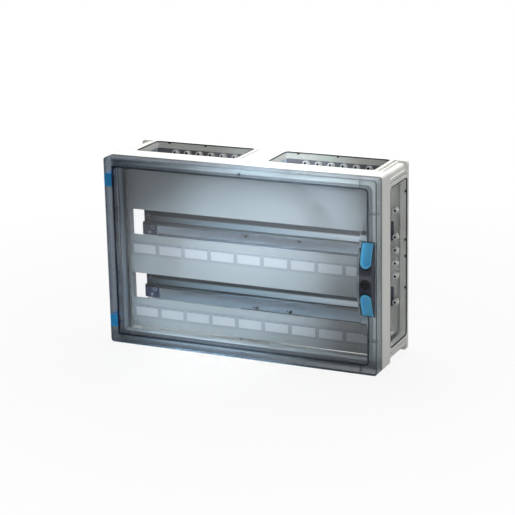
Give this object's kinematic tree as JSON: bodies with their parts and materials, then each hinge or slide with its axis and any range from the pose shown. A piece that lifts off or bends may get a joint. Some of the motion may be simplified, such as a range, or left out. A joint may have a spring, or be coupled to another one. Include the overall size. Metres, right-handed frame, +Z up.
{
  "type": "electrical distribution box",
  "caption": "Wall-mounted modular distribution box: insulating housing with open framed walls, clear hinged door with blue slide latches, device cover and mounting rails",
  "frame": {"origin": "centre of the four wall-fixing holes, on the back face", "axes": "+X to the right seen from the front, +Z up, the door looks along -Y"},
  "size_m": [0.54, 0.182, 0.36],
  "materials": {
    "housing_grey": "fine moulded texture",
    "cover_grey": "fine moulded texture",
    "door_clear": "clear moulded plastic, lightly smoked",
    "handle_smoke": "smoked, glossy",
    "lock_black": "satin",
    "latch_blue": "satin moulded",
    "gasket_rubber": "matte",
    "seal_rubber": "matte",
    "carrier_clear": "satin",
    "card_white": "plain card",
    "rail_steel": "galvanised and passivated",
    "bracket_grey": "moulded",
    "screw_steel": "zinc plated",
    "terminal_brass": "plain"
  },
  "bodies": {
    "enclosure": {"base_housing": "housing_grey", "door_gasket": "gasket_rubber", "device_cover": "cover_grey", "left_wall_seal": "seal_rubber", "right_wall_seal": "seal_rubber", "top_left_wall_seal": "seal_rubber", "top_right_wall_seal": "seal_rubber", "bottom_left_wall_seal": "seal_rubber", "bottom_right_wall_seal": "seal_rubber", "cover_screws": "cover_grey", "label_carrier_upper": "carrier_clear", "label_carrier_lower": "carrier_clear", "label_cards_upper": "card_white", "label_cards_lower": "card_white", "din_rail_upper": "rail_steel", "din_rail_lower": "rail_steel", "rail_bracket_upper_left": "bracket_grey", "rail_bracket_upper_right": "bracket_grey", "rail_bracket_lower_left": "bracket_grey", "rail_bracket_lower_right": "bracket_grey", "rail_screws": "screw_steel", "terminal_carrier": "bracket_grey", "earth_terminal_strip": "terminal_brass", "neutral_terminal_strip": "terminal_brass", "earth_terminal_screws": "screw_steel", "neutral_terminal_screws": "screw_steel"},
    "door": {"door_shell": "door_clear", "handle_body": "handle_smoke", "lock_plug": "lock_black", "hinge_clip_upper": "latch_blue", "hinge_clip_lower": "latch_blue", "hinge_pin_upper": "screw_steel", "hinge_pin_lower": "screw_steel"},
    "latch_upper": {"latch_upper": "latch_blue"},
    "latch_lower": {"latch_lower": "latch_blue"}
  },
  "joints": [
    {"name": "door_hinge", "type": "hinge", "parent": "enclosure", "child": "door", "pos_m": [-0.2655, -0.143, 0], "axis": [0, 0, -1], "range_deg": [0, 100]},
    {"name": "upper_latch_slide", "type": "slide", "parent": "door", "child": "latch_upper", "axis": [0, 0, -1], "range_m": [0, 0.003], "stiffness_N_per_m": 400},
    {"name": "lower_latch_slide", "type": "slide", "parent": "door", "child": "latch_lower", "axis": [0, 0, 1], "range_m": [0, 0.003], "stiffness_N_per_m": 400}
  ]
}
